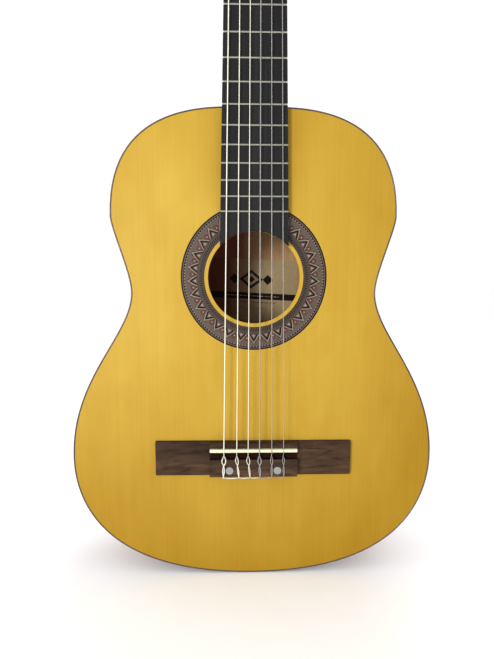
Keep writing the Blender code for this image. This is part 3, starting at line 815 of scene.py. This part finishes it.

# %% [markdown]
# The bridge is one block of dark wood: two thin wings, a ridge that holds the saddle, a groove, and the
# tie block with six holes. Its edges are just broken. The faces in the groove get a darker wood as painted
# shade. Two round caps cover the bolts in the tie block; a cap is a short bar whose face is inset and
# pushed in, which catches the light as a real washer does.

# %% Bridge and its caps
bridge = bench_copy("bridge")
ease(bridge, 0.35)
seat(bridge, "rosewood_bridge", "frame", bridge_wood, "bridge")
bridge.data.materials.append(groove_shade_wood)
groove_low, groove_high = at(-46, -9.5, 9.3), at(46, -1.9, 3.5)
# The faces in the groove take the darker wood: painted shade.
for face in bridge.data.polygons:
    if all(a < v < b for a, v, b in zip(groove_low, face.center, groove_high)):
        face.material_index = 1


def cap_paint():
    """Grey pearl with a little cloud in it."""
    paint, w = new_paint("cap_pearl", Roughness=0.45)
    cloud = noise(w, place_of(w, (600, 600, 600)), 1.0, 4.0, 0.7, 1.0)
    return connect(paint, Base_Color=cloud.mix(srgb(104, 104, 103), srgb(142, 142, 140)),
                   Height=(cloud, 0.15, 0.0002))


pearl_grey = cap_paint()
for side, x in (("bass", -23.6), ("treble", 23.6)):
    cap = rod(at(x, -20.3, 10.02), at(x, -20.3, 10.75), 3.8, 40)
    edit(cap)
    pick_faces(cap, lambda spot, way: way.y < -0.9)
    bpy.ops.mesh.inset(thickness=0.0005)
    bpy.ops.transform.translate(value=(0, -0.00015, 0))
    done()
    ease(cap, 0.25)
    seat(cap, "bolt_cap_" + side, "frame", pearl_grey, "bridge_cap_" + side)
print("bridge dressed")

# %% [markdown]
# Each string is one cord: it leaves its knot on the tie block, dives into its hole, climbs over the
# saddle, runs to the nut and down into the head. The knot is a loop round the string itself, whose two
# legs twist over each other. The route is a list of points, and sharp turns are rounded off, because
# automatic handles would bow the long straight stretch.

# %% String routes


def rounded(points, reach):
    """Points with each corner replaced by a short curve that starts at most reach away."""
    path = [points[0]]
    for before, corner, after in zip(points, points[1:], points[2:]):
        a, b = before - corner, after - corner
        cut_a, cut_b = min(reach, a.length * 0.48), min(reach, b.length * 0.48)
        start, end = corner + a.normalized() * cut_a, corner + b.normalized() * cut_b
        if a.angle(b, math.pi) > math.radians(176):
            path.append(corner)
            continue
        for step in range(6):
            u = step / 5
            path.append(start * (1 - u) ** 2 + corner * 2 * u * (1 - u) + end * u * u)
    path.append(points[-1])
    return path


def cord(path, radius, sides=3):
    """A round cord along world points, as a mesh with closed ends."""
    only()
    bpy.ops.curve.primitive_bezier_curve_add(radius=0.01)
    curve = bpy.context.object
    data = curve.data
    data.splines.clear()
    line = data.splines.new("POLY")
    line.points.add(len(path) - 1)
    for point, spot in zip(line.points, path):
        point.co = (*spot, 1.0)
    curve.location = (0, 0, 0)
    data.dimensions = "3D"
    data.bevel_depth = radius / 1000
    data.bevel_resolution = sides
    data.use_fill_caps = True
    only(curve)
    bpy.ops.object.convert(target="MESH")
    thing = settle(bpy.context.object)
    face_out(thing)
    return thing


# Per string, bass to treble: how far the twist leans, half the eye's width, which way the tail lies
# and how long it is.
LEAN = (-0.6, 1.9, 1.7, 0.6, 0.2, 0.5)
EYE = (1.9, 1.3, 1.5, 1.6, 1.0, 0.9)
TAIL_WAY = (1, 1, 1, 1, -1, -1)
TAIL_LONG = (13.0, 9.5, 8.5, 7.0, 10.5, 8.0)
BLOCK_TOP, BLOCK_FRONT = 10.0, -9.4
TWIST_START, TWIST_END = -26.0, -14.5


def knot_points(index):
    """The tied end: tail along the block's edge, twisted legs, eye, and back through the hole."""
    x0, r = SADDLE_X[index], STRING_R[index]
    way, lean, eye = TAIL_WAY[index], LEAN[index], EYE[index]
    lie = BLOCK_TOP + r + 0.1

    def leg(s, side):
        drift = lean * max(0.0, min(1.0, (-9.0 - s) / 16.0))
        if s < TWIST_END:
            u = (s - TWIST_START) / (TWIST_END - TWIST_START)
            wide, lift = (0.2 + r) * math.sin(math.pi * u), math.cos(math.pi * u)
        else:
            u = (s - TWIST_END) / 8.6
            wide, lift = -eye * math.sin(math.pi * min(u, 1.0)) ** 0.8, -math.cos(math.pi * u)
        sink = 0.0 if s < BLOCK_FRONT else (s - BLOCK_FRONT) * 0.55
        return at(x0 + drift + side * wide, s, lie + r * 0.95 + side * lift * r * 0.95 - sink)

    first, second = ([leg(TWIST_START + 1.05 * i, side) for i in range(18)] for side in (1, -1))
    top = [at(x0 + 0.35 * eye, -6.9, 7.5), at(x0, -6.4, 6.7), at(x0 - 0.35 * eye, -6.9, 7.5)]
    if first[-1].x < second[-1].x:
        top = top[::-1]
    foot, reach = x0 + lean, way * TAIL_LONG[index]
    tail = [at(foot + reach, -27.9 - r, 8.6), at(foot + reach * 0.6, -28.1 - r, 9.2),
            at(foot + way * 1.6, -27.8 - r * 0.6, 9.9)]
    out = [at(foot - way * 0.3, -28.2, lie - 0.3), at(x0 + lean * 0.4, -28.4, 8.4), at(x0, -27.9, 6.7),
           at(x0, -26.0, 6.6)]
    return tail + first + top + second[::-1] + out


def string_path(index):
    """The knot, and the run out of the hole, over the saddle and to the nut."""
    x0, xn, r = SADDLE_X[index], NUT_X[index], STRING_R[index]
    top = SADDLE_TOP + r + 0.08
    rise = [at(x0, -9.8, 6.6), at(x0, -8.2, 7.1), at(x0, -2.2, top - 0.9), at(x0, -0.3, top),
            at(xn, 650.6, NUT_TOP + r + 0.1), at(xn, 653.2, NUT_TOP + r)]
    return knot_points(index), rise


def roller_of(index):
    """Which side and station a string winds on, its resting x there and its winding radius."""
    side = -1 if index < 3 else 1
    station = index if index < 3 else 5 - index
    return side, station, side * (19.5, 16.0, 12.5)[station], 4.5 + STRING_R[index] + 0.05


ROLLER_T = (58.0, 97.0, 136.0)
ROLLER_N = -7.0
print("eye widths", EYE)

# %% [markdown]
# Three bass strings are wound with silver-plated wire, and three trebles are clear nylon. A winding
# could be modelled turn by turn, but a thousand turns of hair-thin wire are too many faces, so a sine
# along the string raises them as bump. Nylon lets some light through.

# %% String finishes and the strings


def wound_metal():
    """Silver-plated wire wound round a core: fine rings across the string."""
    paint, w = new_paint("wound_silver", Metallic=0.35)
    pitch = 0.0007
    turn = w.sum("SINE", place_of(w).axes()[2] * (2 * math.pi / pitch))
    wear = noise(w, place_of(w, (60, 60, 60)), 1.0, 3.0, 0.6)
    colour = wear.mix(srgb(198, 192, 174), srgb(234, 230, 214))
    return connect(paint, Base_Color=colour, Roughness=0.28 + wear * 0.12, Height=(turn, 0.25, 0.00015))


def clear_nylon():
    """Nylon that lets some light through."""
    paint, w = new_paint("clear_nylon", Roughness=0.22, Transmission_Weight=0.35, IOR=1.5)
    cloud = noise(w, place_of(w, (40, 40, 12)), 1.0, 2.0, 0.5)
    return connect(paint, Base_Color=cloud.mix(srgb(142, 138, 136), srgb(170, 166, 162)),
                   Roughness=0.18 + cloud * 0.1)


silver, nylon = wound_metal(), clear_nylon()
STEPS_A_TURN = 24
STRINGS = ("string_6_E", "string_5_A", "string_4_D", "string_3_G", "string_2_B", "string_1_e")
for index, node in enumerate(STRINGS):
    knot, rise = string_path(index)
    side, station, x_roll, wind = roller_of(index)
    touch = math.pi * 0.56
    meet = on_head(x_roll, ROLLER_T[station] + wind * math.cos(touch), ROLLER_N + wind * math.sin(touch))
    straight = rounded(rise, 1.2) + [meet]
    finish, note = (silver if index < 3 else nylon), node[7:]
    seat(cord(rounded(knot, 0.8) + straight, STRING_R[index]), "cord_" + note, "frame", finish, node, angle=60)
    coil = []
    for step in range(84):
        turns = step / STEPS_A_TURN
        a = touch - turns * 2 * math.pi
        drift = -side * 2.06 * STRING_R[index] * turns
        coil.append(on_head(x_roll + drift, ROLLER_T[station] + wind * math.cos(a),
                            ROLLER_N + wind * math.sin(a)))
    coil.append(on_head(x_roll + drift, ROLLER_T[station], ROLLER_N))
    body = "roller_%s_%d_body" % ("bass" if side < 0 else "treble", station + 1)
    seat(cord(coil, STRING_R[index]), "winding_" + note, body, finish, angle=60)
print("six strings and their windings")

# %% [markdown]
# Turned parts are drawn as a lathe would make them: a round face is pulled along the axis in steps and
# scaled at each step to the next radius. A spin of a drawn profile would do as well, but stops along an
# axis can be read off a turner's drawing, and the axis may point anywhere. The metals and the pearl of
# the machines are made here too, from one smeared noise each.

# %% Turning on the lathe


def turned(stops, sides=32):
    """Pull a round face through (centre, radius) stops."""
    only()
    first, second = stops[0][0], stops[1][0]
    turn = (second - first).to_track_quat("Z", "Y").to_euler()
    bpy.ops.mesh.primitive_circle_add(vertices=sides, radius=stops[0][1] / 1000, fill_type="NGON",
                                      location=first, rotation=turn)
    thing = settle(bpy.context.object)
    edit(thing)
    for (here, now), (there, then) in zip(stops, stops[1:]):
        bpy.ops.mesh.extrude_region_move(TRANSFORM_OT_translate={"value": there - here})
        size = then / now
        bpy.ops.transform.resize(value=(size, size, size), center_override=there)
    done()
    face_out(thing)
    return thing


def metal(name, low, high, rough):
    """Plated metal with fingerprints and fine smears."""
    paint, w = new_paint(name, Metallic=1.0, Roughness=rough)
    smear = noise(w, place_of(w, (300, 300, 90)), 1.0, 4.0, 0.65, 0.4)
    return connect(paint, Base_Color=smear.mix(low, high), Roughness=rough + (smear - 0.5) * 0.3,
                   Height=(smear, 0.06, 0.0001))


gilt = metal("gilt_plate", srgb(176, 138, 66), srgb(226, 190, 112), 0.26)
steel = metal("bright_steel", srgb(150, 150, 152), srgb(214, 214, 214), 0.25)


def pearl():
    """Swirled pearl plastic under a clear coat."""
    paint, w = new_paint("pearl_button", Roughness=0.2, Coat_Weight=0.6, Coat_Roughness=0.08)
    swirl = noise(w, place_of(w, (110, 110, 60)), 1.0, 4.0, 0.6, 1.6)
    return connect(paint, Base_Color=swirl.ramp((0.3, srgb(206, 198, 176)), (0.52, srgb(236, 230, 212)),
                                                (0.7, srgb(222, 216, 206))), Roughness=0.16 + swirl * 0.12)


pearl_white = pearl()
roller_white = bone("roller_ivory", srgb(220, 212, 188), srgb(240, 234, 216))
print("machine finishes ready")

# %% [markdown]
# A tuning machine is a worm on the key and a toothed wheel on the roller, held to the head by one gilt
# plate on each side. The teeth are every other face of a drum pulled outwards; the worm's thread is a
# thin cord wound round its shaft. A cut thread and involute teeth would be truer, but at this size only
# their rhythm is seen. All six machines come from the same few lines, each with meshes of its own.

# %% Machines
WORM_X, WORM_SHIFT = 41.5, 8.6
THREAD_R, TEETH = 2.05, 16
for side, sign in (("bass", -1), ("treble", 1)):
    plate = bench_copy("tuner_plate_" + side)
    ease(plate, 0.18, 2, 50)
    seat(plate, "side_plate_" + side, "frame", gilt, "tuner_plate_" + side)
    for n_screw, t in enumerate((49.5, 77.5, 116.5, 150.0)):
        screw = turned([(on_head(sign * 38.15, t, -7.1), 1.9), (on_head(sign * 38.7, t, -7.1), 1.7),
                        (on_head(sign * 38.95, t, -7.1), 1.0)], 24)
        slot = rod(on_head(sign * 38.95, t - 3, -7.1), on_head(sign * 38.95, t + 3, -7.1), 0.28, 4)
        carve(screw, slot)
        seat(screw, "screw_%s_%d" % (side, n_screw + 1), "frame", steel)
    for k, t in enumerate(ROLLER_T):
        where = "%s_%d" % (side, k + 1)

        def across(x, t=t):
            return on_head(sign * x, t, ROLLER_N)
        barrel = turned([(across(4.0), 4.0), (across(4.4), 4.5), (across(24.0), 4.5), (across(35.8), 4.5),
                         (across(36.2), 4.1), (across(36.3), 3.0), (across(39.4), 3.0)])
        seat(barrel, "barrel_" + where, "roller_%s_body" % where, roller_white, "roller_" + where)
        wheel = turned([(across(39.5), 4.6), (across(43.3), 4.6)], 2 * TEETH)
        edit(wheel)
        centre = across(41.4)

        def tooth(spot, way):
            if abs(way.x) > 0.5:
                return False
            arm = spot - centre
            turn = math.atan2(arm.y, arm.z) / (2 * math.pi) * 2 * TEETH
            return round(turn + 0.01) % 2 == 0
        pick_faces(wheel, tooth)
        bpy.ops.mesh.extrude_faces_move(TRANSFORM_OT_shrink_fatten={"value": 0.0010})
        done()
        face_out(wheel)
        ease(wheel, 0.12, 1, 40)
        seat(wheel, "wheel_" + where, "roller_%s_body" % where, steel)
        pin = turned([(across(43.35), 2.4), (across(43.9), 2.3), (across(44.3), 1.6)], 24)
        tip, half_slot = across(44.35), Vector((0, 0, 0.004))
        carve(pin, rod(tip - half_slot, tip + half_slot, 0.3, 4))
        seat(pin, "wheel_screw_" + where, "roller_%s_body" % where, gilt)

        def down(n, t=t):
            return on_head(sign * WORM_X, t + WORM_SHIFT, n)
        stem = turned([(down(0.5), 0.9), (down(0.2), 1.4), (down(-2.2), 1.4), (down(-2.3), 1.9),
                       (down(-11.9), 1.9), (down(-12.0), 1.4), (down(-22.2), 1.4)], 24)
        thread = []
        for step in range(85):
            a = step / 20 * 2 * math.pi
            thread.append(on_head(sign * WORM_X + THREAD_R * math.cos(a),
                                  t + WORM_SHIFT + THREAD_R * math.sin(a), -2.9 - step * 0.1))
        worm = cord(thread, 0.5, 1)
        only(worm, stem)
        bpy.ops.object.join()
        seat(stem, "worm_" + where, "tuner_key_%s_body" % where, steel, "tuner_key_" + where, angle=50)
        knob = turned([(down(-20.8), 2.2), (down(-21.6), 2.6), (down(-23.6), 2.7), (down(-24.8), 3.6),
                       (down(-26.3), 5.9), (down(-28.6), 7.2), (down(-31.5), 7.9), (down(-34.5), 7.9),
                       (down(-37.2), 6.9), (down(-39.2), 4.9), (down(-40.1), 2.6)], 40)
        edit(knob)
        pick_faces(knob, lambda spot, way: (spot - down(0)).length > 0.0242)
        bpy.ops.transform.resize(value=(0.62, 1, 1), center_override=down(-30))
        done()
        seat(knob, "button_" + where, "tuner_key_%s_body" % where, pearl_white, angle=60)
print("six machines")

# %% [markdown]
# The room is plain: a pale floor, a pale world and large soft lamps. The key lamp stands to the
# left, so the amber top is a little brighter there, and its light falls through the hole to the right.
# A small lamp would cut hard shadows under the strings, so both lamps are wide discs. The camera stands
# close in front of the body, as for a portrait, tipped a little down and turned a little to one side.

# %% Floor, lamps and camera
only()
bpy.ops.mesh.primitive_plane_add(size=14, location=(0, 3.0, cad_low.z - 0.0005))
floor = settle(bpy.context.object)
floor.name = "studio_floor"
floor_paint, w = new_paint("floor_paint", Roughness=0.9)
speckle = noise(w, place_of(w), 30.0, 2.0)
connect(floor_paint, Base_Color=speckle.mix((0.92, 0.92, 0.92), (0.95, 0.95, 0.95)))
floor.data.materials.append(floor_paint)

world = bpy.data.worlds.new("pale_room")
bpy.context.scene.world = world
world.use_nodes = True
world.node_tree.nodes["Background"].inputs["Color"].default_value = (1, 1, 1, 1)
world.node_tree.nodes["Background"].inputs["Strength"].default_value = 1.07
bpy.context.scene.view_settings.view_transform = "Standard"


def lamp(name, spot, aim, size, power):
    """A round soft lamp that looks at a point."""
    data = bpy.data.lights.new(name, "AREA")
    data.shape = "DISK"
    data.size = size
    data.energy = power
    thing = bpy.data.objects.new(name, data)
    bpy.context.scene.collection.objects.link(thing)
    thing.location = spot
    thing.rotation_euler = (Vector(aim) - Vector(spot)).to_track_quat("-Z", "Y").to_euler()


lamp("key_lamp", (-0.86, -1.5, 0.38), (0, 0, 0.30), 0.45, 24)
lamp("back_lamp", (0.8, 1.8, 1.6), (0, 0, 0.5), 1.6, 12)

camera = bpy.data.objects.new("studio_camera", bpy.data.cameras.new("studio_camera"))
bpy.context.scene.collection.objects.link(camera)
camera.data.lens = 27.04
camera.data.clip_start = 0.01
camera.location = at(-18.55, 175.8, 476.7)
camera.rotation_mode = "ZYX"
camera.rotation_euler = [math.radians(v) for v in (90 - 6.872, -1.433, -0.03)]
bpy.context.scene.camera = camera
print("camera at", [round(v, 3) for v in camera.location])
